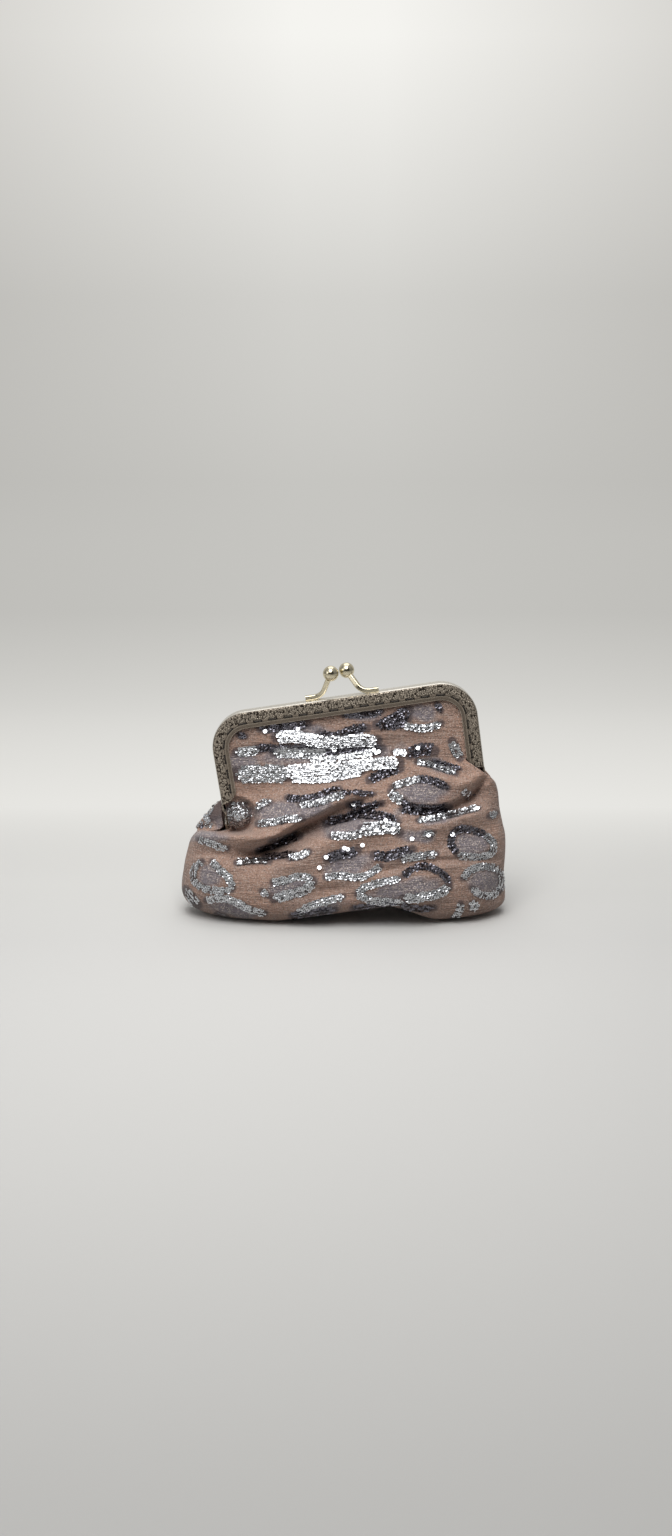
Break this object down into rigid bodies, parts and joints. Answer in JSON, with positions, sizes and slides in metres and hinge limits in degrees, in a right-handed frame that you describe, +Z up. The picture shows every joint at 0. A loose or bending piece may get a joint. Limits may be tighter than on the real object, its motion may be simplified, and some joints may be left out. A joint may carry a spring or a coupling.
{
  "type": "kiss-lock clutch purse",
  "caption": "Small soft clutch purse of sequinned animal-print cloth, sewn into a hinged metal frame with a two-ball kiss lock.",
  "frame": {"origin": "centre of the bounding box on the surface the purse stands on", "axes": "+Z up, the front of the purse looks along -Y, +X along its length to the right"},
  "size_m": [0.148, 0.0538, 0.1157],
  "materials": {
    "antique_metal": "antiqued, pebbled face",
    "bright_metal": "pale polished",
    "rivet_steel": "satin",
    "thread": "twisted thread",
    "sequin_cloth": "sequinned animal print on dusty rose cloth",
    "lining_cloth": "plain woven"
  },
  "bodies": {
    "pouch": {"front_pouch_cloth": "sequin_cloth", "back_pouch_cloth": "sequin_cloth", "front_pouch_lining": "lining_cloth", "back_pouch_lining": "lining_cloth"},
    "front_half": {"front_frame": "antique_metal", "front_clasp_stem": "bright_metal", "front_clasp_ball": "bright_metal", "front_stitching": "thread", "front_outer_panel": "sequin_cloth", "front_lining_panel": "lining_cloth"},
    "back_half": {"back_frame": "antique_metal", "back_clasp_stem": "bright_metal", "back_clasp_ball": "bright_metal", "back_stitching": "thread", "back_outer_panel": "sequin_cloth", "back_lining_panel": "lining_cloth", "left_hinge_rivet": "rivet_steel", "right_hinge_rivet": "rivet_steel"}
  },
  "joints": [
    {"name": "front_frame_swing", "type": "hinge", "parent": "pouch", "child": "front_half", "pos_m": [0.0052, 0, 0.0512], "axis": [0.9893, 0, 0.1461], "range_deg": [0, 50]},
    {"name": "back_frame_swing", "type": "hinge", "parent": "pouch", "child": "back_half", "pos_m": [0.0052, 0, 0.0512], "axis": [-0.9893, 0, -0.1461], "range_deg": [0, 50]}
  ]
}
